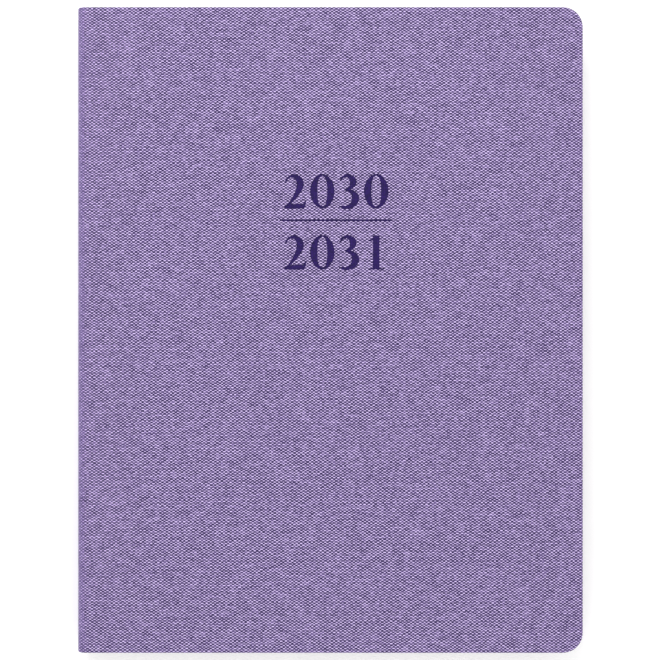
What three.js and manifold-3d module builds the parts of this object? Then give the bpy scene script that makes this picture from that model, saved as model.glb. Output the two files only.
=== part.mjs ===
// A case-bound planner, closed and lying on its back cover.
// Millimetres. X runs from the spine (-X) to the fore edge (+X), Y from tail to head, Z up
// through the thickness. The origin is the centre of the face that the planner lies on.
// Every paper pile turns on one line along Y, halfway up the spine's outer face, so each pile
// that is turned over lands flat on the left, the front cover against the table.
import * as THREE from "three";
import { mergeVertices } from "three/addons/utils/BufferGeometryUtils.js";
import Module from "manifold-3d";

const wasm = await Module();
wasm.setup();

// Overall size of the case.
const coverWidth = 184;
const coverHeight = 235;
const foreCornerRadius = 7.3;
const spineRoundRadius = 3;

// Thicknesses.
const skin = 0.4;
const board = 1.7;
const endpaper = 0.2;
const signatureThickness = 0.9;
const signatureCount = 10;
const slit = 0.1;

// Clearances: between glued layers, and between the piles that turn.
const layerGap = 0.05;
const pileGap = 0.1;

// Places measured from the spine's outer face.
const jointWidth = 7;
const turnInWidth = 15;
const pastedownStart = 2;
const linerThickness = 0.4;
const mullThickness = 0.2;
const spineGap = 0.1;
const foldGap = 0.2;
const mullFlange = 20;
const foldWall = 0.45;

// Places measured from the head and the tail.
const pageInset = 3;
const pageCornerRadius = 6;
const mullInset = 20;

// Sewing.
const threadSize = 0.4;
const threadClearance = 0.08;
const stationCount = 6;
const stationMargin = 22;

// Head and tail bands.
const beadRadius = 0.8;
const tapeHeight = 14;

// Worked out from the sizes above.
const caseLayer = skin + layerGap + board + layerGap + skin;
const coverThickness = caseLayer + layerGap + endpaper;
const pilePitch = signatureThickness + pileGap;
const backFlyleafZ = coverThickness + pileGap;
const firstPileZ = backFlyleafZ + endpaper + pileGap;
const frontFlyleafZ = firstPileZ + signatureCount * pilePitch;
const frontCoverZ = frontFlyleafZ + endpaper + pileGap;
const thickness = frontCoverZ + coverThickness;
const linerStart = skin + spineGap;
const mullStart = linerStart + linerThickness + spineGap;
const foldStart = mullStart + mullThickness + foldGap;
const pageHalfHeight = coverHeight / 2 - pageInset;
const mullHalfHeight = coverHeight / 2 - mullInset;

const colours = {
  cloth: new THREE.MeshStandardMaterial({ color: 0x8e7faa, roughness: 0.72, metalness: 0 }),
  board: new THREE.MeshStandardMaterial({ color: 0x8f8a80, roughness: 0.95, metalness: 0 }),
  endpaper: new THREE.MeshStandardMaterial({ color: 0xf1efe9, roughness: 0.9, metalness: 0 }),
  paper: new THREE.MeshStandardMaterial({ color: 0xf6f4ec, roughness: 0.9, metalness: 0 }),
  gauze: new THREE.MeshStandardMaterial({ color: 0xe3dccb, roughness: 1, metalness: 0 }),
  band: new THREE.MeshStandardMaterial({ color: 0xd9d2e4, roughness: 0.6, metalness: 0 }),
  thread: new THREE.MeshStandardMaterial({ color: 0xfbfaf5, roughness: 0.6, metalness: 0 }),
};

const planner = new THREE.Group();

function addPiece(name, geometry, material) {
  const mesh = new THREE.Mesh(geometry, material.clone());
  mesh.name = name;
  planner.add(mesh);
}

// A position measured from the spine's outer face, as an X.
function fromSpine(distance) {
  return distance - coverWidth / 2;
}

function toSolid(geometry) {
  const bare = geometry.clone();
  bare.deleteAttribute("normal");
  bare.deleteAttribute("uv");
  const merged = mergeVertices(bare, 1e-4);
  const vertProperties = new Float32Array(merged.attributes.position.array);
  const triVerts = new Uint32Array(merged.index.array);
  return new wasm.Manifold(new wasm.Mesh({ numProp: 3, vertProperties, triVerts }));
}

function toGeometry(solid) {
  const mesh = solid.getMesh();
  const geometry = new THREE.BufferGeometry();
  geometry.setAttribute("position", new THREE.BufferAttribute(mesh.vertProperties, 3));
  geometry.setIndex(new THREE.BufferAttribute(mesh.triVerts, 1));
  return geometry;
}

function cut(body, ...tools) {
  let solid = toSolid(body);
  for (const tool of tools) solid = solid.subtract(toSolid(tool));
  return toGeometry(solid);
}

function join(body, ...additions) {
  let solid = toSolid(body);
  for (const addition of additions) solid = solid.add(toSolid(addition));
  return toGeometry(solid);
}

// A box from its lowest and highest corners, with X measured from the spine's outer face.
function block(s0, s1, y0, y1, z0, z1) {
  const geometry = new THREE.BoxGeometry(s1 - s0, y1 - y0, z1 - z0);
  geometry.translate(fromSpine((s0 + s1) / 2), (y0 + y1) / 2, (z0 + z1) / 2);
  return geometry;
}

// A flat sheet from s0 to s1, as tall as twice halfHeight, with its fore-edge corners round.
function sheet(s0, s1, halfHeight, radius, z, height) {
  const left = fromSpine(s0);
  const right = fromSpine(s1);
  const outline = new THREE.Shape();
  outline.moveTo(left, -halfHeight);
  outline.lineTo(right - radius, -halfHeight);
  outline.absarc(right - radius, radius - halfHeight, radius, -Math.PI / 2, 0, false);
  outline.absarc(right - radius, halfHeight - radius, radius, 0, Math.PI / 2, false);
  outline.lineTo(left, halfHeight);
  outline.closePath();
  const settings = { depth: height, bevelEnabled: false, curveSegments: 8 };
  const geometry = new THREE.ExtrudeGeometry(outline, settings);
  geometry.translate(0, 0, z);
  return geometry;
}

// A profile drawn in (distance from the spine, height), carried along Y.
function channel(outline, halfHeight) {
  const settings = { depth: 2 * halfHeight, bevelEnabled: false, curveSegments: 6 };
  const geometry = new THREE.ExtrudeGeometry(outline, settings);
  geometry.rotateX(Math.PI / 2);
  geometry.translate(fromSpine(0), halfHeight, 0);
  return geometry;
}

// The covering of one board: outer face, three wrapped edges and the turn-ins inside.
// lipBelow says that the inside faces down, as on the front cover.
function coverSkin(z, lipBelow) {
  const halfHeight = coverHeight / 2;
  const beyond = jointWidth - 1;
  const body = sheet(jointWidth, coverWidth, halfHeight, foreCornerRadius, z, caseLayer);
  const radius = foreCornerRadius - skin;
  const pocket = sheet(beyond, coverWidth - skin, halfHeight - skin, radius, z + skin,
    caseLayer - 2 * skin);
  const windowEdge = coverWidth - turnInWidth;
  const windowZ = lipBelow ? z - skin : z + caseLayer - 2 * skin;
  const window = block(beyond, windowEdge, turnInWidth - halfHeight, halfHeight - turnInWidth,
    windowZ, windowZ + 3 * skin);
  return cut(body, pocket, window);
}

function coverBoard(z) {
  const rim = skin + layerGap;
  const radius = foreCornerRadius - rim;
  return sheet(jointWidth, coverWidth - rim, coverHeight / 2 - rim, radius, z, board);
}

function pastedown(z) {
  const edge = coverWidth - pageInset;
  return sheet(pastedownStart, edge, pageHalfHeight, pageCornerRadius, z, endpaper);
}

function leaf(z, height) {
  const edge = coverWidth - pageInset;
  return sheet(foldStart, edge, pageHalfHeight, pageCornerRadius, z, height);
}

// The heights along the fold where the thread passes through it.
function stations() {
  const reach = pageHalfHeight - stationMargin;
  const step = (2 * reach) / (stationCount - 1);
  return Array.from({ length: stationCount }, (_, i) => i * step - reach);
}

// One folded section: two halves joined at the fold, with room for the thread inside it.
function signature(z) {
  const middle = z + signatureThickness / 2;
  const inner = foldStart + foldWall;
  const room = threadSize / 2 + threadClearance;
  const tall = pageHalfHeight + 1;
  const gap = block(inner, coverWidth, -tall, tall, middle - slit / 2, middle + slit / 2);
  const pocketEnd = inner + threadSize + 2 * threadClearance;
  const reach = pageHalfHeight - stationMargin + 2 * room;
  const pocket = block(inner, pocketEnd, -reach, reach, middle - room, middle + room);
  const holes = stations().map((y) =>
    block(foldStart - 1, inner + 0.1, y - room, y + room, middle - room, middle + room));
  return cut(leaf(z, signatureThickness), gap, pocket, ...holes);
}

// The thread that runs inside one fold, with a leg out through the fold at each station.
function thread(z) {
  const middle = z + signatureThickness / 2;
  const half = threadSize / 2;
  const start = foldStart + foldWall + threadClearance;
  const reach = pageHalfHeight - stationMargin + half;
  const run = block(start, start + threadSize, -reach, reach, middle - half, middle + half);
  const legs = stations().map((y) =>
    block(foldStart, start + half, y - half, y + half, middle - half, middle + half));
  return join(run, ...legs);
}

// The covering over the spine and both joints: flat over the joints, round at the corners.
function spineSkin() {
  const low = spineGap;
  const high = thickness - spineGap;
  const end = jointWidth - spineGap;
  const outerRadius = spineRoundRadius;
  const innerRadius = spineRoundRadius - skin;
  const outline = new THREE.Shape();
  outline.moveTo(end, low);
  outline.lineTo(end, low + skin);
  outline.lineTo(outerRadius, low + skin);
  outline.absarc(outerRadius, low + outerRadius, innerRadius, -Math.PI / 2, Math.PI, true);
  outline.absarc(outerRadius, high - outerRadius, innerRadius, Math.PI, Math.PI / 2, true);
  outline.lineTo(end, high - skin);
  outline.lineTo(end, high);
  outline.lineTo(outerRadius, high);
  outline.absarc(outerRadius, high - outerRadius, outerRadius, Math.PI / 2, Math.PI, false);
  outline.absarc(outerRadius, low + outerRadius, outerRadius, Math.PI, 1.5 * Math.PI, false);
  outline.closePath();
  return channel(outline, coverHeight / 2);
}

function spineLiner() {
  const low = spineGap + spineRoundRadius;
  const halfHeight = pageHalfHeight;
  return block(linerStart, linerStart + linerThickness, -halfHeight, halfHeight, low,
    thickness - low);
}

// Gauze over the back of the folds, with a flange glued under each pastedown.
function mull() {
  const flangeLow = skin + layerGap + board + 2 * layerGap;
  const flangeHigh = flangeLow + mullThickness;
  const end = jointWidth + mullFlange;
  const back = mullStart + mullThickness;
  const outline = new THREE.Shape();
  outline.moveTo(mullStart, flangeLow);
  outline.lineTo(end, flangeLow);
  outline.lineTo(end, flangeHigh);
  outline.lineTo(back, flangeHigh);
  outline.lineTo(back, thickness - flangeHigh);
  outline.lineTo(end, thickness - flangeHigh);
  outline.lineTo(end, thickness - flangeLow);
  outline.lineTo(mullStart, thickness - flangeLow);
  outline.closePath();
  return channel(outline, mullHalfHeight);
}

// A sewn band at one end of the spine: a tape on the folds and a bead over the page edges.
// side is 1 at the head and -1 at the tail.
function endBand(side) {
  const back = fromSpine(mullStart);
  const face = fromSpine(mullStart + mullThickness);
  const tapeEnd = side * (pageHalfHeight - tapeHeight);
  const seat = side * (pageHalfHeight + layerGap);
  const top = seat + side * 2 * beadRadius;
  const front = fromSpine(foldStart + 2 * beadRadius);
  const outline = new THREE.Shape();
  outline.moveTo(back, tapeEnd);
  outline.lineTo(face, tapeEnd);
  outline.lineTo(face, seat);
  outline.lineTo(front, seat);
  outline.quadraticCurveTo(front, top, (back + front) / 2, top);
  outline.quadraticCurveTo(back, top, back, seat);
  outline.closePath();
  const height = thickness - 2 * backFlyleafZ;
  const settings = { depth: height, bevelEnabled: false, curveSegments: 6 };
  const geometry = new THREE.ExtrudeGeometry(outline, settings);
  geometry.translate(0, 0, backFlyleafZ);
  return geometry;
}

addPiece("back_cover_skin", coverSkin(0, false), colours.cloth);
addPiece("back_board", coverBoard(skin + layerGap), colours.board);
addPiece("back_pastedown", pastedown(caseLayer + layerGap), colours.endpaper);
addPiece("back_flyleaf", leaf(backFlyleafZ, endpaper), colours.endpaper);

// The sections are numbered from the front, so the lowest pile is the last one.
for (let i = 0; i < signatureCount; i += 1) {
  const z = firstPileZ + i * pilePitch;
  const number = String(signatureCount - i).padStart(2, "0");
  addPiece(`signature_${number}`, signature(z), colours.paper);
  addPiece(`thread_${number}`, thread(z), colours.thread);
}

addPiece("front_flyleaf", leaf(frontFlyleafZ, endpaper), colours.endpaper);
addPiece("front_pastedown", pastedown(frontCoverZ), colours.endpaper);
addPiece("front_board", coverBoard(frontCoverZ + endpaper + layerGap + skin + layerGap),
  colours.board);
addPiece("front_cover_skin", coverSkin(frontCoverZ + endpaper + layerGap, true), colours.cloth);
addPiece("spine_skin", spineSkin(), colours.cloth);
addPiece("spine_liner", spineLiner(), colours.board);
addPiece("mull", mull(), colours.gauze);
addPiece("head_band", endBand(1), colours.band);
addPiece("tail_band", endBand(-1), colours.band);

export default planner;
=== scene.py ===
"""A case-bound planner: cloth over boards, sewn paper sections, end bands and pressed numerals.

Metres, in the frame's axes: X from the spine to the fore edge, Y from tail to head, Z up.
"""
import math

import bmesh
import bpy
import numpy as np
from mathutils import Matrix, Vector
from mathutils.geometry import delaunay_2d_cdt


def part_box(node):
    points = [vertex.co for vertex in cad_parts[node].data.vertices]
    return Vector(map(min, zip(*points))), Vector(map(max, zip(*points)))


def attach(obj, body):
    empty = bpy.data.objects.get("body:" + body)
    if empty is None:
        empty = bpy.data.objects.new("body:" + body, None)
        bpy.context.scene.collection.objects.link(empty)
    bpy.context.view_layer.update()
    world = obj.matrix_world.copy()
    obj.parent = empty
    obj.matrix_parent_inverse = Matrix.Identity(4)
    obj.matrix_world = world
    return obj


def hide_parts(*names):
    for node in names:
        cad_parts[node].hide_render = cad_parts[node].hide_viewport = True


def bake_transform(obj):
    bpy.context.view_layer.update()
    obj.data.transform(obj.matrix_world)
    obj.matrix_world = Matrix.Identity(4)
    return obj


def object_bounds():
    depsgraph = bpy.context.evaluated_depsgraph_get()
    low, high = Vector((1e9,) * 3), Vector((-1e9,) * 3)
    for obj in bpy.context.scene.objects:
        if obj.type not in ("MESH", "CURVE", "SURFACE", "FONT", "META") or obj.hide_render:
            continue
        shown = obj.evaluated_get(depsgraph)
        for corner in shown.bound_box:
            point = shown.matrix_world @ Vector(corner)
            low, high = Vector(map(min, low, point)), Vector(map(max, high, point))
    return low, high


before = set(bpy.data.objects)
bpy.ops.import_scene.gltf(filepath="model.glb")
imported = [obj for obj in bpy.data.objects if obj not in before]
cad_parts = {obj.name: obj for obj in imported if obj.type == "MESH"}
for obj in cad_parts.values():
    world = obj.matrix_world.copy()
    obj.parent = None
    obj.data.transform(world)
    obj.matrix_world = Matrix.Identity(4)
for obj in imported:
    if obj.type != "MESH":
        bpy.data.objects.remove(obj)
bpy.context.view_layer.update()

# ---------------------------------------------------------------- sizes, from the frame

low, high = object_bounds()
SPINE = low.x
WIDTH = high.x - low.x
HALF = (high.y - low.y) / 2
THICK = high.z
MIDDLE = THICK / 2

board_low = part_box("front_board")[0]
case_low, case_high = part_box("front_cover_skin")
flyleaf_low, flyleaf_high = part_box("front_flyleaf")
pastedown_low, pastedown_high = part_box("front_pastedown")
liner_low, liner_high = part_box("spine_liner")
mull_low, mull_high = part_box("mull")
band_low, band_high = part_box("head_band")

JOINT = board_low.x - SPINE
CASE_DEPTH = case_high.z - case_low.z
PAGE_HALF = flyleaf_high.y
PAGE_END = flyleaf_high.x
FOLD = flyleaf_low.x

# Cloth and its edges.
CLOTH = 0.0004
SPINE_ROUND = 0.003
FORE_RADIUS = 0.0073
EDGE_ROUND = 0.00055
LIP_ROUND = 0.0004
SPINE_DEPTH = 0.001
TURN_IN = 0.015
SIDE_RISE = 0.0012
WARP_PITCH = 0.0008
WEFT_PITCH = 0.00053
WEAVE_DRIFT = 1.1
GAUZE_PITCH = 0.0009

# Places on the flat cloth, measured from the crease halfway up the spine.
WALL = MIDDLE - SPINE_ROUND
BEND = SPINE_ROUND * math.pi / 2
UNROLLED = WALL + BEND + WIDTH - SPINE_ROUND
BOARD_START = WALL + BEND + JOINT - SPINE_ROUND
FLAT_START = BOARD_START + 0.002

# The grid of points inside the flat panel: its margin and its spacing.
FILL_MARGIN = 0.006
FILL_STEP = 0.008

# Paper.
PAGE_RADIUS = 0.006
PASTEDOWN_RADIUS = PAGE_RADIUS - 0.001
SHEETS = 4
SHORTEST_TRIM = -0.00012
LONGEST_TRIM = 0.00005
STRIP = 0.00015
LEAF = 0.000085
PASTE = pastedown_high.z - pastedown_low.z
HINGE = PASTE * 0.6
HINGE_GAP = 0.00008

# The spine: the strips' and flanges' distance from what they lie on, and the card's sizes.
GLUE_GAP = 0.0001
LINER_GAP = 0.0002
LINER_MARGIN = 0.001
LINER_BEVEL = 0.0001

# Rows of points across the height, in the endpapers and behind the folds.
HEIGHT_STEPS = 17

# The end bands: a bead's gap, its reach, width and length as shares, and the strands' pitch.
BAND_GAP = 0.0002
BEAD_REACH = 0.86
BEAD_WIDE = 0.92
BEAD_LONG = 1.04
STRAND_PITCH = 0.00022

# The printed page, from the fold, the fore edge, the tail and the head.
FOLD_MARGIN = 0.012
FORE_MARGIN = 0.009
TAIL_MARGIN = 0.012
HEAD_MARGIN = 0.026
BAR_LOW = 0.021
BAR_HIGH = 0.011
LINE_SPACING = 0.007
LINE_WIDE = 0.00022
CENTRE_WIDE = 0.0003

# Pressed numerals.
NUMERAL_TALL = 0.0126
NUMERAL_WIDE = 0.0089
NUMERAL_PITCH = 0.0098
BROAD = 0.0027
RULE_LONG = 0.0408
RULE_WIDE = 0.0006
PRESS = 0.00022
TITLE_X = 0.0021
RULE_Y = 0.03985
UPPER_ROW = 0.0106
LOWER_ROW = -0.0116

# The studio: the width that the camera sees at the cover, and the floor's size and depth.
VIEW_WIDE = 0.24
FLOOR_HALF = 3
FLOOR_DROP = 0.0003

SECTIONS = sorted(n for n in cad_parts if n.startswith("signature_"))
PILES = (
    ["back_cover", "back_flyleaf"]
    + ["section_" + n[-2:] for n in reversed(SECTIONS)]
    + ["front_flyleaf", "front_cover"]
)
chance = np.random.default_rng(7)


# ---------------------------------------------------------------- shader arithmetic


class Wire:
    """A shader socket that takes Python arithmetic: each operator adds one Math node."""

    def __init__(self, tree, socket=None):
        self.tree = tree
        self.socket = socket

    def node(self, kind, sockets=None, output=0, **settings):
        """Adds a node: its settings first, then a value or a link for each socket."""
        made = self.tree.nodes.new(kind)
        for key, value in settings.items():
            setattr(made, key, value)
        for key, value in (sockets or {}).items():
            if isinstance(value, Wire):
                self.tree.links.new(value.socket, made.inputs[key])
            else:
                made.inputs[key].default_value = value
        return Wire(self.tree, made.outputs[output]) if made.outputs else None

    def math(self, operation, first, second=0.0):
        return self.node("ShaderNodeMath", {0: first, 1: second}, operation=operation)

    def __add__(self, other):
        return self.math("ADD", self, other)

    def __sub__(self, other):
        return self.math("SUBTRACT", self, other)

    def __rsub__(self, other):
        return self.math("SUBTRACT", other, self)

    def __mul__(self, other):
        return self.math("MULTIPLY", self, other)

    __radd__ = __add__
    __rmul__ = __mul__

    def __truediv__(self, other):
        return self.math("DIVIDE", self, other)

    def __abs__(self):
        return self.math("ABSOLUTE", self)

    def sin(self):
        return self.math("SINE", self)

    def floor(self):
        return self.math("FLOOR", self)

    def above(self, other):
        return self.math("GREATER_THAN", self, other)

    def larger(self, other):
        return self.math("MAXIMUM", self, other)

    def clamp(self, start=0.0, end=1.0):
        """This value's place between start and end, kept from 0 to 1."""
        sockets = {"Value": self, "From Min": start, "From Max": end}
        return self.node("ShaderNodeMapRange", sockets, clamp=True)

    def colours(self, first, second):
        """The colour from first to second that this value, from 0 to 1, picks."""
        sockets = {"Factor": self, "A": first, "B": second}
        return self.node("ShaderNodeMix", sockets, output=2, data_type="RGBA")

    def noise(self, where, scale, detail=2.0, stretch=(1, 1, 1)):
        """Soft noise from 0 to 1, its grain stretched along each axis."""
        mapped = self.node("ShaderNodeMapping", {"Vector": where, "Scale": stretch})
        sockets = {"Vector": mapped, "Scale": scale, "Detail": detail}
        return self.node("ShaderNodeTexNoise", sockets)

    def bump(self, height, distance, strength=1.0):
        sockets = {"Height": height, "Distance": distance, "Strength": strength}
        return self.node("ShaderNodeBump", sockets)


def rgba(red, green, blue):
    """A linear colour from one given in everyday 0 to 255 steps."""
    values = np.array([red, green, blue]) / 255
    linear = np.where(values > 0.04045, ((values + 0.055) / 1.055) ** 2.4, values / 12.92)
    return (*linear.tolist(), 1.0)


def material(name, build, **even):
    """A material: what varies comes from build, and what is even sits on the shader."""
    made = bpy.data.materials.new(name)
    made.use_nodes = True
    made.node_tree.nodes.clear()
    wire = Wire(made.node_tree)
    sockets = {key.replace("_", " "): value for key, value in even.items()}
    sockets.update(build(wire))
    shader = wire.node("ShaderNodeBsdfPrincipled", sockets)
    wire.node("ShaderNodeOutputMaterial", {"Surface": shader})
    return made


def coordinates(wire, kind):
    """The piece's own position or UV map, whole and as separate numbers."""
    output = {"UV": 2, "Object": 3}[kind]
    where = wire.node("ShaderNodeTexCoord", output=output)
    split = wire.tree.nodes.new("ShaderNodeSeparateXYZ")
    wire.tree.links.new(where.socket, split.inputs[0])
    return where, [Wire(wire.tree, socket) for socket in split.outputs]


def weave(wire, where, u, v, warp_pitch, weft_pitch):
    """Plain weave: at each crossing the warp or the weft is on top, in turn.

    Returns the height and how far the weft is on top, both from 0 to 1, and a random
    number for each crossing.
    """
    across = u / warp_pitch + (wire.noise(where, 420, 2) - 0.5) * WEAVE_DRIFT
    wander = wire.noise(where, 460, 2, (0.4, 1, 1)) - 0.5
    along = v / weft_pitch + wander * WEAVE_DRIFT
    warp = (across * math.pi).sin()
    weft = (along * math.pi).sin()
    turn = warp * weft
    over_warp = abs(warp) * (turn * 0.5 + 0.5)
    over_weft = abs(weft) * (0.5 - turn * 0.5)
    height = over_warp.larger(over_weft)
    cell = wire.node("ShaderNodeCombineXYZ", {"X": across.floor(), "Y": along.floor()})
    crossing = wire.node("ShaderNodeTexWhiteNoise", {"Vector": cell}, noise_dimensions="2D")
    return height, over_weft, crossing


def cover_cloth(wire):
    """Linen-look book cloth, coated: light thread tops, dark gaps, slubs and soft painted shade on
    the spine's round.
    """
    where, (u, v, _) = coordinates(wire, "UV")
    height, weft_up, crossing = weave(wire, where, u, v, WARP_PITCH, WEFT_PITCH)
    weft_slub = wire.noise(where, 2100, 1, (0.3, 1, 1))
    weft_thread = wire.noise(where, 1500, 1, (0.07, 1, 1))
    warp_thread = wire.noise(where, 1500, 1, (1, 0.07, 1))
    grain = wire.noise(where, 3600, 1)
    tone = (
        1.75 * (weft_up - 0.4)
        + 0.3 * (height - 0.5)
        + 0.5 * (crossing - 0.5)
        + 0.4 * (weft_slub - 0.5)
        + 0.5 * (weft_thread - 0.5)
        + 0.25 * (warp_thread - 0.5)
        + 1.1 * (grain - 0.5)
    )
    # Painted shade along the spine's round: the cloth is darker there and its weave shows less
    # contrast.
    spine_round_shade = 1 - abs(abs(u) - WALL - BEND / 2).clamp(0.0016, 0.003)
    shade = (0.465 + tone * (1 - 0.5 * spine_round_shade) - 0.03 * spine_round_shade).clamp()
    gap = rgba(40, 22, 76)
    body = rgba(124, 102, 162)
    top = rgba(226, 206, 252)
    lower = (shade * 2).clamp().colours(gap, body)
    colour = (shade * 2 - 1).clamp().colours(lower, top)
    relief = height * 0.7 + crossing * 0.1 + weft_slub * 0.3
    return {
        "Base Color": colour,
        "Roughness": 0.56 + 0.2 * (1 - height),
        "Normal": wire.bump(relief, 0.00016, 0.8),
    }


def pressed_foil(wire):
    """Dark purple foil pressed into the cloth, whose weave still shows a little."""
    where, (u, v, _) = coordinates(wire, "UV")
    height, _, crossing = weave(wire, where, u, v, WARP_PITCH, WEFT_PITCH)
    mottle = (0.5 * height + 0.5 * crossing).clamp(0.1, 0.9)
    return {
        "Base Color": mottle.colours(rgba(20, 4, 60), rgba(44, 18, 98)),
        "Roughness": 0.42 + 0.14 * crossing,
        "Normal": wire.bump(height, 0.00005, 0.6),
    }


def greyboard(wire):
    """Grey board: recycled fibres and dark flecks."""
    where, _ = coordinates(wire, "Object")
    fibre = wire.noise(where, 900, 4, (1, 0.3, 1))
    fleck = wire.noise(where, 2600, 1).clamp(0.66, 0.72)
    tone = fibre.colours(rgba(126, 121, 112), rgba(166, 160, 149))
    return {
        "Base Color": fleck.colours(tone, rgba(86, 80, 74)),
        "Normal": wire.bump(fibre, 0.00008, 0.6),
    }


def paper_tone(wire, where, dark, light):
    """Paper: cloudy formation and fine fibres. Returns its colour and its relief."""
    cloud = wire.noise(where, 220, 3)
    fibre = wire.noise(where, 2400, 3, (1, 0.35, 1))
    return (0.5 * cloud + 0.5 * fibre).clamp(0.3, 0.7).colours(dark, light), fibre


def endpaper(wire):
    """Heavy endpaper, a soft white with a laid grain."""
    where, _ = coordinates(wire, "Object")
    colour, fibre = paper_tone(wire, where, rgba(219, 215, 206), rgba(231, 227, 219))
    return {"Base Color": colour, "Normal": wire.bump(fibre, 0.00003, 0.5)}


def band_between(value, start, end):
    """1 where a value lies between two others, and 0 elsewhere."""
    return value.above(start) * (1 - value.above(end))


def page_paper(wire):
    """Writing paper with a printed week: a tinted head bar, ruled lines and a centre rule."""
    where, (u, v, _) = coordinates(wire, "UV")
    colour, fibre = paper_tone(wire, where, rgba(222, 218, 207), rgba(233, 229, 219))
    width = PAGE_END - FOLD
    inside = band_between(u, FOLD_MARGIN, width - FORE_MARGIN)
    ruled = inside * band_between(v, TAIL_MARGIN - PAGE_HALF, PAGE_HALF - HEAD_MARGIN)
    step = (v + PAGE_HALF) / LINE_SPACING
    line = (step - step.floor()).above(1 - LINE_WIDE / LINE_SPACING) * ruled
    centre = band_between(u, (width - CENTRE_WIDE) / 2, (width + CENTRE_WIDE) / 2) * ruled
    bar = inside * band_between(v, PAGE_HALF - BAR_LOW, PAGE_HALF - BAR_HIGH)
    ink = line.larger(centre) * 0.8
    tinted = (bar * 0.5).colours(colour, rgba(190, 180, 214))
    return {
        "Base Color": ink.colours(tinted, rgba(140, 132, 165)),
        "Normal": wire.bump(fibre, 0.00002, 0.5),
    }


def gauze(wire):
    """Starched open-weave cotton: pale threads over the shadow of the gaps."""
    where, (u, v, _) = coordinates(wire, "UV")
    height, _, crossing = weave(wire, where, u, v, GAUZE_PITCH, GAUZE_PITCH)
    tone = (height + 0.3 * crossing).clamp(0.1, 0.8)
    return {
        "Base Color": tone.colours(rgba(176, 166, 145), rgba(236, 229, 212)),
        "Normal": wire.bump(height, 0.0001, 0.8),
    }


def silk(dark, light):
    """Wound silk or waxed cotton: fine strands that twist round the bead."""

    def build(wire):
        where, (x, y, z) = coordinates(wire, "Object")
        strand = ((x + y + 0.4 * z) * (2 * math.pi / STRAND_PITCH)).sin() * 0.5 + 0.5
        mixed = (0.7 * strand + 0.3 * wire.noise(where, 3000, 2)).clamp(0.1, 0.9)
        return {
            "Base Color": mixed.colours(dark, light),
            "Normal": wire.bump(strand, 0.00004, 0.6),
        }

    return build


def studio_floor(wire):
    """A pale, slightly uneven sweep of paper."""
    where, _ = coordinates(wire, "Object")
    cloud = wire.noise(where, 3, 2)
    return {"Base Color": cloud.colours((0.93, 0.93, 0.93, 1), (0.95, 0.95, 0.95, 1))}


CLOTH_MATERIAL = material(
    "lavender_book_cloth", cover_cloth, Sheen_Weight=0.12, Sheen_Roughness=0.5,
    Specular_IOR_Level=0.35,
)
FOIL = material("pressed_purple_foil", pressed_foil, Specular_IOR_Level=0.18)
BOARD = material("grey_board", greyboard, Roughness=0.95, Specular_IOR_Level=0.2)
ENDPAPER = material("endpaper", endpaper, Roughness=0.9, Specular_IOR_Level=0.25)
PAGES = material("ruled_pages", page_paper, Roughness=0.88, Specular_IOR_Level=0.25)
GAUZE = material("gauze", gauze, Roughness=0.95, Specular_IOR_Level=0.2)
BAND_PALE = material("band_cream", silk(rgba(205, 196, 178), rgba(244, 239, 226)), Roughness=0.5)
BAND_DARK = material("band_purple", silk(rgba(88, 68, 128), rgba(150, 130, 190)), Roughness=0.5)
THREAD = material("sewing_thread", silk(rgba(214, 208, 196), rgba(250, 248, 240)), Roughness=0.6)
FLOOR = material(
    "studio_floor", studio_floor, Roughness=0.9, Specular_IOR_Level=0.1,
    Emission_Color=(1, 1, 1, 1), Emission_Strength=0.1,
)


# ---------------------------------------------------------------- mesh helpers


def grid_faces(rows, columns, start=0, closed=False):
    """The four-sided faces of a grid of points stored row by row."""
    across = columns if closed else columns - 1
    row, column = np.meshgrid(np.arange(rows - 1), np.arange(across), indexing="ij")
    following = (column + 1) % columns
    corners = (
        row * columns + column,
        row * columns + following,
        (row + 1) * columns + following,
        (row + 1) * columns + column,
    )
    return np.stack(corners, -1).reshape(-1, 4) + start


def lay(name, points, faces, materials, uv=None, slots=None, sharp=40, weld=0.0, thick=0.0,
        offset=-1.0):
    """A mesh piece from arrays: smooth but for edges over the sharp angle.

    weld merges points closer than that, and thick gives the sheet a wall on its inner side.
    """
    mesh = bpy.data.meshes.new(name)
    mesh.from_pydata(points.tolist(), [], [face for part in faces for face in part.tolist()])
    for item in materials:
        mesh.materials.append(item)
    if slots is not None:
        mesh.polygons.foreach_set("material_index", slots.astype(np.int32))
    if uv is not None:
        corner = np.zeros(len(mesh.loops), np.int32)
        mesh.loops.foreach_get("vertex_index", corner)
        layer = mesh.uv_layers.new(name="UVMap")
        layer.data.foreach_set("uv", uv[corner].astype(np.float32).ravel())
    if weld:
        work = bmesh.new()
        work.from_mesh(mesh)
        bmesh.ops.remove_doubles(work, verts=work.verts, dist=weld)
        work.to_mesh(mesh)
        work.free()
    mesh.polygons.foreach_set("use_smooth", np.ones(len(mesh.polygons), bool))
    mesh.set_sharp_from_angle(angle=math.radians(sharp))
    piece = bpy.data.objects.new(name, mesh)
    bpy.context.scene.collection.objects.link(piece)
    if thick:
        wall = piece.modifiers.new("wall", "SOLIDIFY")
        wall.thickness = thick
        wall.offset = offset
    return piece


def place(piece, body, slot, *nodes):
    """Rides a finished piece on a body and hides the CAD nodes it stands for; slot is not used."""
    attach(piece, body)
    if nodes:
        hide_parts(*nodes)
    return piece


# ---------------------------------------------------------------- pressed numerals


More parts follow.
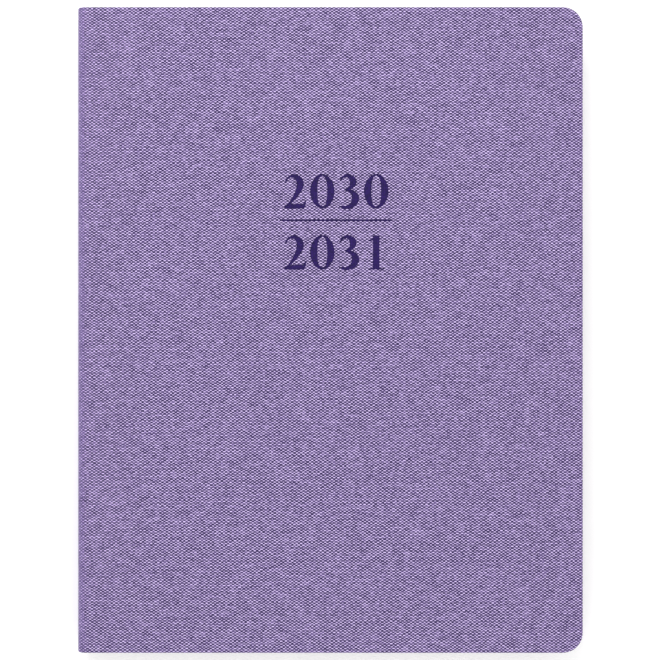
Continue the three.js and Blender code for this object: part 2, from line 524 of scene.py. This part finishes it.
def smooth_curve(knots, samples=12, closed=False):
    """Points on a Catmull-Rom curve through the knots."""
    knots = np.asarray(knots, float)
    if closed:
        padded = np.vstack([knots[-1], knots, knots[:2]])
    else:
        padded = np.vstack([2 * knots[0] - knots[1], knots, 2 * knots[-1] - knots[-2]])
    share = np.linspace(0, 1, samples, endpoint=False)[None, :, None]
    a, b, c, d = (padded[i:len(padded) - 3 + i, None] for i in range(4))
    curve = 0.5 * (
        2 * b + (c - a) * share + (2 * a - 5 * b + 4 * c - d) * share**2
        + (3 * b - a - 3 * c + d) * share**3
    )
    points = curve.reshape(-1, knots.shape[1])
    return points if closed else np.vstack([points, knots[-1]])


def pen_stroke(knots, closed=False):
    """A line drawn with a pen that is pressed more or less along the way.

    Each knot is x and y in shares of the numeral's box, and the width in shares of the
    broadest stroke. Returns the stroke's left and right edges.
    """
    drawn = smooth_curve(knots, closed=closed)
    path = drawn[:, :2] * [NUMERAL_WIDE, NUMERAL_TALL]
    if closed:
        run = np.roll(path, -1, 0) - np.roll(path, 1, 0)
    else:
        run = np.gradient(path, axis=0)
    run = run / np.linalg.norm(run, axis=1)[:, None]
    side = np.stack([-run[:, 1], run[:, 0]], 1) * drawn[:, 2:] * BROAD / 2
    left, right = path + side, path - side
    if closed:
        left, right = np.vstack([left, left[:1]]), np.vstack([right, right[:1]])
    return left, right


def numeral(digit):
    """The pen strokes of one numeral."""
    if digit == "0":
        turn = np.linspace(0, 2 * math.pi, 12, endpoint=False)
        x, y = 0.5 + 0.35 * np.cos(turn), 0.5 + 0.47 * np.sin(turn)
        return [pen_stroke(np.stack([x, y, 0.27 + 0.73 * np.cos(turn) ** 2], 1), closed=True)]
    if digit == "1":
        return [
            pen_stroke([(0.5, 0.01, 0.92), (0.5, 0.5, 0.88), (0.5, 0.98, 0.92)]),
            pen_stroke([(0.6, 0.95, 0.34), (0.4, 0.89, 0.3), (0.2, 0.83, 0.16)]),
            pen_stroke([(0.18, 0.02, 0.2), (0.5, 0.03, 0.24), (0.82, 0.02, 0.2)]),
        ]
    if digit == "2":
        return [
            pen_stroke([
                (0.08, 0.74, 0.16), (0.18, 0.87, 0.28), (0.39, 0.945, 0.42), (0.62, 0.87, 0.8),
                (0.7, 0.69, 0.98), (0.6, 0.48, 0.74), (0.38, 0.24, 0.42), (0.13, 0.05, 0.3),
            ]),
            pen_stroke([
                (0.05, 0.03, 0.3), (0.28, 0.06, 0.58), (0.6, 0.07, 0.66), (0.87, 0.07, 0.6),
            ]),
            pen_stroke([(0.83, 0.06, 0.5), (0.88, 0.15, 0.34), (0.93, 0.25, 0.14)]),
        ]
    return [
        pen_stroke([
            (0.12, 0.79, 0.16), (0.22, 0.9, 0.28), (0.4, 0.945, 0.44), (0.6, 0.88, 0.8),
            (0.66, 0.76, 0.92), (0.57, 0.62, 0.6), (0.34, 0.53, 0.22),
        ]),
        pen_stroke([
            (0.34, 0.53, 0.22), (0.56, 0.5, 0.5), (0.73, 0.38, 0.92), (0.74, 0.24, 1),
            (0.6, 0.09, 0.66), (0.36, 0.035, 0.42), (0.08, 0.06, 0.22),
        ]),
    ]


def title_strokes():
    """Both rows of numerals and the rule between them, from the middle of the cover."""
    strokes = []
    for row, height in (("2030", UPPER_ROW), ("2031", LOWER_ROW)):
        for index, digit in enumerate(row):
            x = TITLE_X + (index - 1.5) * NUMERAL_PITCH - NUMERAL_WIDE / 2
            shift = np.array([x, RULE_Y + height - NUMERAL_TALL / 2])
            strokes += [(left + shift, right + shift) for left, right in numeral(digit)]
    ends = np.array([[TITLE_X - RULE_LONG / 2, RULE_Y], [TITLE_X + RULE_LONG / 2, RULE_Y]])
    strokes.append((ends + [0, RULE_WIDE / 2], ends - [0, RULE_WIDE / 2]))
    return strokes


def inside_strokes(points, strokes):
    """Which points lie in any of the strokes' four-sided pieces, split into triangles."""
    found = np.zeros(len(points), bool)
    for left, right in strokes:
        corners = np.concatenate([
            np.stack([left[:-1], left[1:], right[1:]], 1),
            np.stack([left[:-1], right[1:], right[:-1]], 1),
        ])
        edge = np.roll(corners, -1, 1) - corners
        reach = points[:, None, None] - corners[None]
        side = edge[None, ..., 0] * reach[..., 1] - edge[None, ..., 1] * reach[..., 0]
        found |= ((side >= 0).all(2) | (side <= 0).all(2)).any(1)
    return found


# ---------------------------------------------------------------- cover cloth


def case_point(reach, y, depth):
    """A point on the folded cloth, from its place on the flat cloth.

    reach runs from the crease halfway up the spine: up the wall, round the corner, then
    flat to the fore edge. depth is measured inwards from the outer face.
    """
    turn = np.clip((reach - WALL) / SPINE_ROUND, 0, math.pi / 2)
    radius = SPINE_ROUND - depth
    x = SPINE + SPINE_ROUND - radius * np.cos(turn) + np.maximum(reach - WALL - BEND, 0)
    z = MIDDLE + np.minimum(reach, WALL) + radius * np.sin(turn)
    return np.stack([x, y + 0 * x, z], -1)


def cloth_edge():
    """The flat cloth's outline from the crease at the tail, round the fore edge, to the head.

    Returns the points, their outward directions and how many points the spine and the joint
    take at each end.
    """
    spine_run = np.concatenate([
        np.linspace(0, WALL, 8, endpoint=False),
        np.linspace(WALL, WALL + BEND, 12, endpoint=False),
        np.linspace(WALL + BEND, FLAT_START, 16),
    ])
    board_run = np.linspace(FLAT_START, UNROLLED - FORE_RADIUS, 20)[1:]
    run = np.concatenate([spine_run, board_run])
    turn = np.linspace(-math.pi / 2, 0, 17)[1:]
    corner = np.stack([np.cos(turn), np.sin(turn)], 1)
    centre = np.array([UNROLLED - FORE_RADIUS, FORE_RADIUS - HALF])
    fore_y = np.linspace(FORE_RADIUS - HALF, HALF - FORE_RADIUS, 24)[1:-1]
    tail = np.stack([run, np.full_like(run, -HALF)], 1)
    fore = np.stack([np.full_like(fore_y, UNROLLED), fore_y], 1)
    mirror = np.array([1, -1])
    points = np.vstack([tail, centre + corner * FORE_RADIUS, fore])
    points = np.vstack([points, (centre + corner * FORE_RADIUS)[::-1] * mirror, tail[::-1] * mirror])
    down = np.tile([0.0, -1.0], (len(run), 1))
    out = np.tile([1.0, 0.0], (len(fore), 1))
    outward = np.vstack([down, corner, out, corner[::-1] * mirror, down * mirror])
    return points, outward, len(spine_run)


def rim_section(reach):
    """The cloth's turn over the edge, as (outward, depth) for each place along the edge.

    A quarter round, the side of the board, a smaller round, then the turn-in. The side is
    as deep as the board, and falls away to thin doubled cloth over the joint and the spine.
    """
    share = np.clip((reach - BOARD_START + SIDE_RISE / 2) / SIDE_RISE, 0, 1)
    share = share * share * (3 - 2 * share)
    deep = (SPINE_DEPTH + (CASE_DEPTH - SPINE_DEPTH) * share)[:, None]
    turn = np.linspace(0, math.pi / 2, 6)[None]
    over_out = EDGE_ROUND * (np.sin(turn) - 1) + 0 * deep
    over_deep = EDGE_ROUND * (1 - np.cos(turn)) + 0 * deep
    under_out = LIP_ROUND * (np.cos(turn) - 1) + 0 * deep
    under_deep = deep - LIP_ROUND * (1 - np.sin(turn))
    outward = np.hstack([over_out, under_out, -0.5 * TURN_IN + 0 * deep, -TURN_IN + 0 * deep])
    depth = np.hstack([over_deep, under_deep, deep, deep])
    return outward, depth


def flat_panel(edge, outward, strokes):
    """The flat outer face, cut along the numerals' outlines by a Delaunay triangulation.

    Returns points on the flat cloth, triangles facing out, and which triangles are pressed.
    """
    inner = edge - outward * EDGE_ROUND
    ring = (edge - outward * EDGE_ROUND * 2)[1:-1]
    seam_y = np.linspace(inner[-1, 1], inner[0, 1], 24)[1:-1]
    seam = np.stack([np.full_like(seam_y, inner[0, 0]), seam_y], 1)
    border = np.vstack([inner, seam])
    loops = [(border, True), (ring, False)]
    centre = np.array([UNROLLED - WIDTH / 2, 0])
    for left, right in strokes:
        loops.append((np.vstack([left, right[::-1]]) + centre, True))
    points, edges = [], []
    for loop, closed in loops:
        start = sum(map(len, points))
        count = len(loop)
        joined = [(start + i, start + (i + 1) % count) for i in range(count - (not closed))]
        points.append(loop)
        edges += joined
    fill_x, fill_y = np.meshgrid(
        np.arange(inner[0, 0] + FILL_MARGIN, UNROLLED - FILL_MARGIN, FILL_STEP),
        np.arange(FILL_MARGIN - HALF, HALF - FILL_MARGIN, FILL_STEP),
    )
    points.append(np.stack([fill_x.ravel(), fill_y.ravel()], 1))
    flat = [Vector(point) for point in np.vstack(points).tolist()]
    made = delaunay_2d_cdt(flat, edges, [list(range(len(border)))], 1, 1e-8)
    corners = np.array([list(vert) for vert in made[0]])
    triangles = np.array([face for face in made[2] if len(face) == 3])
    first, second, third = (corners[triangles[:, i]] for i in range(3))
    span, rise = second - first, third - first
    turned = span[:, 0] * rise[:, 1] - span[:, 1] * rise[:, 0] < 0
    triangles[turned] = triangles[turned][:, ::-1]
    middle = (first + second + third) / 3 - centre
    pressed = inside_strokes(middle, strokes) if strokes else np.zeros(len(middle), bool)
    return corners, triangles, pressed


def press_down(corners, triangles, pressed):
    """Lowers the pressed triangles on their own points and adds a wall down to them.

    Returns points, depths, triangles and wall faces.
    """
    count = len(corners)
    lowered = np.where(pressed[:, None], triangles + count, triangles)
    directed = np.concatenate([triangles[:, [0, 1]], triangles[:, [1, 2]], triangles[:, [2, 0]]])
    owner = np.tile(pressed, 3)
    key = directed[:, 0].astype(np.int64) * count + directed[:, 1]
    opposite = directed[:, 1].astype(np.int64) * count + directed[:, 0]
    level = set(key[~owner].tolist())
    across = np.array([value in level for value in opposite.tolist()])
    rim = directed[owner & across]
    walls = np.stack([rim[:, 0], rim[:, 1], rim[:, 1] + count, rim[:, 0] + count], 1)
    depth = np.concatenate([np.zeros(count), np.full(count, PRESS)])
    return np.vstack([corners, corners]), depth, lowered, walls


def cover(name, body, nodes, strokes, facing):
    """One cover's cloth: spine half, joint, panel, edges and turn-ins in a single sheet.

    facing is 1 for the front, whose outer face looks up, and -1 for the back.
    """
    edge, outward, spine_count = cloth_edge()
    rows = []
    faces = []
    slots = []

    # The spine wall, its corner and the joint, as a grid across the height.
    reach = edge[:spine_count, 0]
    across = np.concatenate([
        [EDGE_ROUND - HALF, 2 * EDGE_ROUND - HALF],
        np.linspace(EDGE_ROUND - HALF, HALF - EDGE_ROUND, 24)[1:-1],
        [HALF - 2 * EDGE_ROUND, HALF - EDGE_ROUND],
    ])
    a, y = np.meshgrid(reach, across, indexing="ij")
    rows.append((a.ravel(), y.ravel(), np.zeros(a.size)))
    faces.append(grid_faces(len(reach), len(across))[:, ::-1])
    slots.append(np.zeros(len(faces[-1])))

    # The flat panel, with the numerals pressed into it.
    keep = slice(spine_count - 1, len(edge) - spine_count + 1)
    corners, triangles, pressed = flat_panel(edge[keep], outward[keep], strokes)
    flat, depth, lowered, walls = press_down(corners, triangles, pressed)
    start = len(rows[0][0])
    rows.append((flat[:, 0], flat[:, 1], depth))
    faces += [lowered + start, walls + start]
    slots += [pressed.astype(int), np.ones(len(walls))]

    # The edges all round, from the outer face to the end of the turn-in.
    out, deep = rim_section(edge[:, 0])
    place_out = edge[:, None] + outward[:, None] * out[..., None]
    # Both turn-ins at a corner stop on its diagonal, so that neither folds past the other.
    far = UNROLLED + np.minimum(out, 0)
    high_y = HALF + np.minimum(out, 0)
    place_out[..., 0] = np.clip(place_out[..., 0], 0, far)
    place_out[..., 1] = np.clip(place_out[..., 1], -high_y, high_y)
    start += len(flat)
    rows.append((place_out[..., 0].ravel(), place_out[..., 1].ravel(), deep.ravel()))
    faces.append(grid_faces(len(edge), out.shape[1], start))
    slots.append(np.zeros(len(faces[-1])))

    a, y, depth = (np.concatenate([row[i] for row in rows]) for i in range(3))
    points = case_point(a, y, depth)
    unfold = np.concatenate([np.zeros(start), np.cumsum(np.hypot(
        np.diff(out, axis=1, prepend=out[:, :1]), np.diff(deep, axis=1, prepend=deep[:, :1]),
    ), axis=1).ravel()])
    away = np.concatenate([np.zeros((start, 2)), np.repeat(outward, out.shape[1], 0)])
    base = np.stack([a, y], 1)
    base[start:] = np.repeat(edge - outward * EDGE_ROUND, out.shape[1], 0)
    uv = base + away * unfold[:, None]
    if facing < 0:
        points[:, 2] = THICK - points[:, 2]
        faces = [part[:, ::-1] for part in faces]
        uv[:, 0] *= -1
    piece = lay(name, points, faces, [CLOTH_MATERIAL, FOIL], uv, np.concatenate(slots),
                weld=1e-6, thick=CLOTH)
    return place(piece, body, "cover_cloth", *nodes)


# ---------------------------------------------------------------- paper


def corner_height(x, end, half, radius):
    """Half the height of a sheet at x, where its fore-edge corners are round."""
    into = np.clip(x - (end - radius), 0, radius)
    return half - radius + np.sqrt(np.maximum(radius**2 - into**2, 0))


def sheet_columns(start, end, radius, plain=8, bend=8):
    """X places from start to end, closer together where the corners turn."""
    turn = np.linspace(0, math.pi / 2, bend + 1)
    return np.concatenate([
        np.linspace(start, end - radius, plain, endpoint=False),
        end - radius + radius * np.sin(turn),
    ])


def folded_sheet(centre_x, middle_z, offset, end, half):
    """One folded sheet: lower leaf, half-round fold, upper leaf, as a grid."""
    x = sheet_columns(centre_x, end, PAGE_RADIUS)
    turn = np.linspace(-math.pi / 2, math.pi / 2, 7)[1:-1]
    fold_x = centre_x - offset * np.cos(turn)
    fold_z = offset * np.sin(turn)
    path_x = np.concatenate([x[::-1], fold_x, x])
    path_z = np.concatenate([np.full_like(x, -offset), fold_z, np.full_like(x, offset)])
    tall = corner_height(path_x, end, half, PAGE_RADIUS)
    share = np.linspace(-1, 1, 13)
    points = np.stack([
        np.repeat(path_x[:, None], len(share), 1),
        tall[:, None] * share,
        middle_z + np.repeat(path_z[:, None], len(share), 1),
    ], -1)
    uv = np.stack([points[..., 0] - FOLD, points[..., 1]], -1)
    return points.reshape(-1, 3), grid_faces(len(path_x), len(share)), uv.reshape(-1, 2)


def section(node):
    """A section of nested folded sheets, trimmed almost flush."""
    lowest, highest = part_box(node)
    middle = (lowest.z + highest.z) / 2
    pitch = (highest.z - lowest.z) / (2 * SHEETS)
    centre = lowest.x + (highest.z - lowest.z) / 2
    points, faces, maps = [], [], []
    for index in range(SHEETS):
        offset = (SHEETS - index - 0.5) * pitch
        trim = chance.uniform(SHORTEST_TRIM, LONGEST_TRIM)
        grid, quads, uv = folded_sheet(
            centre, middle, offset, highest.x + trim, highest.y + trim / 2
        )
        faces.append(quads + sum(map(len, points)))
        points.append(grid)
        maps.append(uv)
    piece = lay(node + "_sheets", np.vstack(points), faces, [PAGES], np.vstack(maps),
                thick=LEAF, offset=0.0)
    place(piece, "section_" + node[-2:], "page_paper", node)


def pastedown(name, body, node, facing):
    """The endpaper's glued half, from the board's spine edge to near the fore edge."""
    lowest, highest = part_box(node)
    x = sheet_columns(SPINE + JOINT, highest.x, PASTEDOWN_RADIUS, 12, 10)
    tall = corner_height(x, highest.x, highest.y, PASTEDOWN_RADIUS)
    share = np.linspace(-1, 1, HEIGHT_STEPS)
    z = (lowest.z + highest.z) / 2
    points = np.stack([
        np.repeat(x[:, None], len(share), 1),
        tall[:, None] * share,
        np.full((len(x), len(share)), z),
    ], -1).reshape(-1, 3)
    piece = lay(name, points, [grid_faces(len(x), len(share))], [ENDPAPER], thick=PASTE,
                offset=0.0)
    place(piece, body, "endpaper", node)

    # The hinge from the fold of the free leaf to the board.
    leaf = "front_flyleaf" if facing > 0 else "back_flyleaf"
    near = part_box(leaf)[1].z + HINGE_GAP if facing > 0 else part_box(leaf)[0].z - HINGE_GAP
    run = np.linspace(0, 1, 25)
    smooth = run * run * (3 - 2 * run)
    hinge_x = FOLD + (SPINE + JOINT - FOLD) * run
    hinge_z = near + (z - near) * smooth
    points = np.stack([
        np.repeat(hinge_x[:, None], len(share), 1),
        np.repeat((PAGE_HALF * share)[None], len(run), 0),
        np.repeat(hinge_z[:, None], len(share), 1),
    ], -1).reshape(-1, 3)
    hinge = lay(name + "_hinge", points, [grid_faces(len(run), len(share))], [ENDPAPER],
                thick=HINGE, offset=0.0)
    if facing > 0:
        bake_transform(hinge)
    else:
        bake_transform(hinge)


# ---------------------------------------------------------------- spine


def pile_levels():
    """The heights where one pile ends and the next begins, from the lowest up."""
    spans = [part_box("back_flyleaf")]
    spans += [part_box(node) for node in reversed(SECTIONS)]
    spans += [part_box("front_flyleaf")]
    bottoms = [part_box("back_pastedown")[1].z] + [span[1].z for span in spans]
    tops = [span[0].z for span in spans] + [pastedown_low.z]
    return [(bottom + top) / 2 for bottom, top in zip(bottoms, tops)]


def spine_strips(name, x, half, cuts, first, finish, slot, *nodes):
    """Strips behind the folds, one across each place where the planner opens.

    Each strip reaches from the middle of one pile to the middle of the next. first is the lowest
    strip's pile.
    """
    for index, (start, end) in enumerate(zip(cuts, cuts[1:])):
        z = np.linspace(start, end, HEIGHT_STEPS)
        y = np.linspace(-half, half, HEIGHT_STEPS)
        grid_z, grid_y = np.meshgrid(z, y, indexing="ij")
        points = np.stack([np.full_like(grid_z, x), grid_y, grid_z], -1).reshape(-1, 3)
        uv = np.stack([grid_z, grid_y], -1).reshape(-1, 2)
        strip = lay(f"{name}_{index + 1:02d}", points, [grid_faces(len(z), len(y))], [finish], uv,
                    thick=STRIP, offset=0.0)
        if nodes:
            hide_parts(*nodes)
            nodes = ()
        below = PILES[first + index]
        PILES[first + index + 1]
        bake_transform(strip)


def gauze_flange(name, body, z):
    """The gauze glued to a board, under its pastedown."""
    x = np.linspace(SPINE + JOINT, mull_high.x, 9)
    y = np.linspace(-mull_high.y, mull_high.y, HEIGHT_STEPS)
    grid_x, grid_y = np.meshgrid(x, y, indexing="ij")
    points = np.stack([grid_x, grid_y, np.full_like(grid_x, z)], -1).reshape(-1, 3)
    uv = np.stack([grid_x, grid_y], -1).reshape(-1, 2)
    flange = lay(name, points, [grid_faces(len(x), len(y))], [GAUZE], uv, thick=STRIP, offset=0.0)
    place(flange, body, "gauze")


def liner(name, body, start, end, *nodes):
    """Half of the card strip behind the spine cloth, between the turn-ins."""
    x = (liner_low.x + liner_high.x) / 2
    z = np.linspace(start, end, 7)
    end_y = HALF - TURN_IN - LINER_MARGIN
    y = np.linspace(-end_y, end_y, HEIGHT_STEPS)
    grid_z, grid_y = np.meshgrid(z, y, indexing="ij")
    points = np.stack([np.full_like(grid_z, x), grid_y, grid_z], -1).reshape(-1, 3)
    card = lay(name, points, [grid_faces(len(z), len(y))], [BOARD],
               thick=liner_high.x - liner_low.x, offset=0.0)
    edge = card.modifiers.new("edge", "BEVEL")
    edge.width = LINER_BEVEL
    place(card, body, "greyboard", *nodes)


def bead(centre, radius, length):
    """A bead wound round the band's core: an ellipsoid, squarer along Z, as a grid."""
    turn = np.linspace(0, 2 * math.pi, 16, endpoint=False)
    lift = np.linspace(-math.pi / 2, math.pi / 2, 9)
    lift_grid, turn_grid = np.meshgrid(lift, turn, indexing="ij")
    wide = np.cos(lift_grid) ** 0.5 * radius
    points = np.stack([
        centre[0] + wide * np.cos(turn_grid),
        centre[1] + wide * np.sin(turn_grid),
        centre[2] + np.sin(lift_grid) * length / 2,
    ], -1)
    return points.reshape(-1, 3), grid_faces(len(lift), len(turn), closed=True)


def end_bands(levels):
    """The head and tail bands: two wound beads over each section, one pale and one dark."""
    radius = (band_high.x - band_low.x - BAND_GAP) / 2
    edges = [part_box("back_flyleaf")[0].z] + levels[2:-2] + [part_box("front_flyleaf")[1].z]
    centre_x = band_high.x - radius
    centre_y = PAGE_HALF + radius * BEAD_REACH
    for name, side, node in (("head_band", 1, "head_band"), ("tail_band", -1, "tail_band")):
        nodes = [node]
        for index, (start, end) in enumerate(zip(edges, edges[1:])):
            length = (end - start) / 2
            points, faces, slots = [], [], []
            for half in range(2):
                centre = (centre_x, side * centre_y, start + length * (half + 0.5))
                grid, quads = bead(centre, radius * BEAD_WIDE, length * BEAD_LONG)
                points.append(grid)
                faces.append(quads + len(grid) * half)
                slots.append(np.full(len(quads), half))
            body = PILES[index + 2]
            wound = lay(f"{name}_{body[-2:]}", np.vstack(points), faces,
                        [BAND_PALE, BAND_DARK], slots=np.concatenate(slots), weld=1e-7)
            place(wound, body, "band_cloth", *nodes)
            nodes = []


# ---------------------------------------------------------------- studio


def studio():
    """A pale floor, soft light from above and a camera that looks straight at the cover."""
    square = np.array([[-1, -1, 0], [1, -1, 0], [1, 1, 0], [-1, 1, 0]]) * FLOOR_HALF
    floor = lay("floor", square - [0, 0, FLOOR_DROP], [np.array([[0, 1, 2, 3]])], [FLOOR])
    scene = bpy.context.scene
    scene.view_settings.view_transform = "Standard"
    world = bpy.data.worlds.new("studio")
    world.use_nodes = True
    background = world.node_tree.nodes["Background"]
    background.inputs["Color"].default_value = (1, 1, 1, 1)
    background.inputs["Strength"].default_value = 1.0
    scene.world = world

    def soft_light(name, place_at, size, power):
        light = bpy.data.lights.new(name, "AREA")
        light.shape = "SQUARE"
        light.size = size
        light.energy = power
        lamp = bpy.data.objects.new(name, light)
        lamp.location = place_at
        lamp.rotation_mode = "QUATERNION"
        lamp.rotation_quaternion = (-Vector(place_at)).to_track_quat("-Z", "Y")
        scene.collection.objects.link(lamp)

    soft_light("key_light", (-0.15, 0.55, 0.65), 0.5, 2.6)
    soft_light("fill_light", (0.5, -0.9, 1.5), 1.2, 1)

    camera = bpy.data.cameras.new("camera")
    camera.lens = 85
    camera.sensor_width = 36
    distance = VIEW_WIDE * camera.lens / camera.sensor_width
    viewer = bpy.data.objects.new("camera", camera)
    viewer.location = (0, 0, THICK + distance)
    scene.collection.objects.link(viewer)
    scene.camera = viewer


# ---------------------------------------------------------------- the planner

cover("front_cover_cloth", "front_cover", ["front_cover_skin", "spine_skin"], title_strokes(), 1)
cover("back_cover_cloth", "back_cover", ["back_cover_skin"], [], -1)
for node in SECTIONS:
    section(node)
pastedown("front_pastedown_sheet", "front_cover", "front_pastedown", 1)
pastedown("back_pastedown_sheet", "back_cover", "back_pastedown", -1)
openings = pile_levels()
pile_middles = [(a + b) / 2 for a, b in zip(openings, openings[1:])]
gauze_cuts = [mull_low.z] + pile_middles + [mull_high.z]
spine_strips("spine_gauze", mull_low.x + GLUE_GAP, mull_high.y, gauze_cuts, 0, GAUZE, "gauze", "mull")
spine_strips("fold_guard", FOLD - GLUE_GAP, PAGE_HALF, pile_middles, 1, ENDPAPER, "endpaper")
gauze_flange("front_gauze_flange", "front_cover", mull_high.z - GLUE_GAP)
gauze_flange("back_gauze_flange", "back_cover", mull_low.z + GLUE_GAP)
liner("spine_liner_front", "front_cover", MIDDLE + LINER_GAP, liner_high.z, "spine_liner")
liner("spine_liner_back", "back_cover", liner_low.z, MIDDLE - LINER_GAP)
end_bands(openings)

FINISHES = {"board": BOARD, "flyleaf": ENDPAPER, "thread": THREAD}
for name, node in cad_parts.items():
    for word, finish in FINISHES.items():
        if word in name:
            for slot in node.material_slots:
                slot.material = finish

studio()
